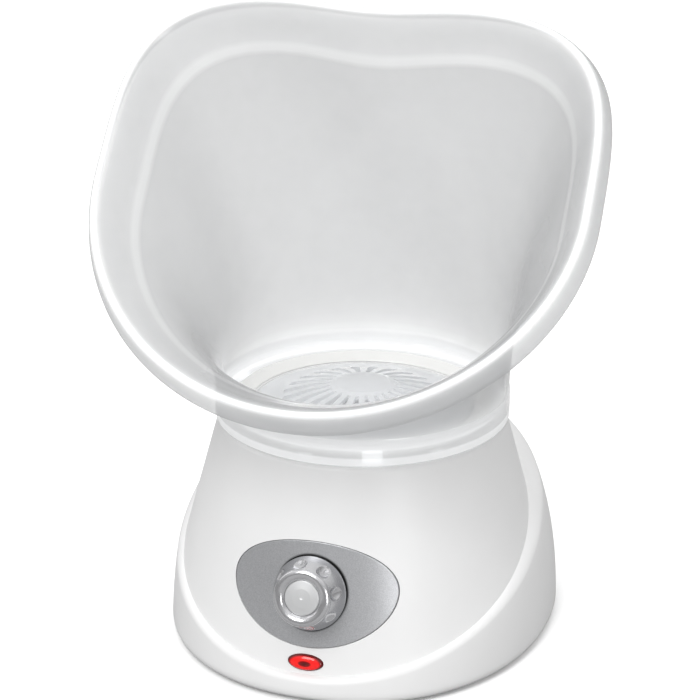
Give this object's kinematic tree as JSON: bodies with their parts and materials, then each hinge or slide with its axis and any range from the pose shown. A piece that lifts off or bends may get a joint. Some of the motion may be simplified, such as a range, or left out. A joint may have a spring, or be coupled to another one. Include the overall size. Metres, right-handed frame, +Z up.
{
  "type": "facial steamer",
  "caption": "Table-top facial steamer: white base with rotary control, heated water dish, ribbed steam vent and a large milky-clear face mask.",
  "frame": {"origin": "point on the table below the centre of the water dish", "axes": "+Z up, -Y toward the user, at the knob and the chin side of the mask, and +X to the right of someone who faces the knob"},
  "size_m": [0.2232, 0.3464, 0.2788],
  "materials": {
    "white_shell": "smooth, softly glossy",
    "black_rubber": "matte",
    "zinc_steel": "bright zinc",
    "silver_plate": "fine metallic lacquer",
    "silver_knob": "satin chrome",
    "satin_cap": "satin",
    "black_plastic": "moulded",
    "red_lens": "clear red",
    "lamp_glass": "neon envelope",
    "clear_mask": "milky clear",
    "cream_ring": "smooth",
    "clear_vent": "clear, ribbed",
    "dish_aluminium": "drawn, satin",
    "silicone_seal": "soft",
    "cast_heater": "cast",
    "bright_shield": "bright sheet",
    "fuse_sleeve": "glass-fibre sleeve",
    "lead_blue": "insulated lead",
    "white_cord": "satin",
    "brass_pins": "plated"
  },
  "bodies": {
    "base": {"base_housing": "white_shell", "bottom_cover": "white_shell", "rubber_feet": "black_rubber", "cover_screws": "zinc_steel", "control_panel": "silver_plate", "regulator_body": "black_plastic", "spindle_nut": "zinc_steel", "pilot_lens": "red_lens", "pilot_lamp": "lamp_glass", "lamp_sleeve": "black_plastic", "water_dish": "dish_aluminium", "dish_seal": "silicone_seal", "heater_disc": "cast_heater", "heater_clamp": "zinc_steel", "clamp_screws": "zinc_steel", "heat_shield": "bright_shield", "thermal_cutout": "black_plastic", "thermal_fuse": "fuse_sleeve", "terminal_block": "cream_ring", "wiring": "lead_blue", "cord_bushing": "black_rubber", "cord_clamp": "white_shell", "cord_clamp_screws": "zinc_steel", "power_cord": "white_cord", "power_plug": "white_cord", "plug_pins": "brass_pins"},
    "knob": {"control_knob": "silver_knob", "knob_cap": "satin_cap", "regulator_spindle": "zinc_steel"},
    "ring": {"splash_ring": "cream_ring"},
    "mask": {"face_mask": "clear_mask"},
    "vent": {"steam_vent": "clear_vent"}
  },
  "joints": [
    {"name": "knob_turn", "type": "hinge", "parent": "base", "child": "knob", "pos_m": [0, -0.07858, 0.046], "axis": [0, 0.9642, -0.2652], "range_deg": [0, 270]},
    {"name": "mask_lift", "type": "slide", "parent": "base", "child": "ring", "axis": [0, 0, 1], "range_m": [0, 0.09]},
    {"name": "mask_turn", "type": "hinge", "parent": "ring", "child": "mask", "pos_m": [0, 0, 0.099], "axis": [0, 0, 1], "range_deg": [-20, 20]},
    {"name": "vent_lift", "type": "slide", "parent": "base", "child": "vent", "axis": [0, 0, 1], "range_m": [0, 0.06]}
  ]
}
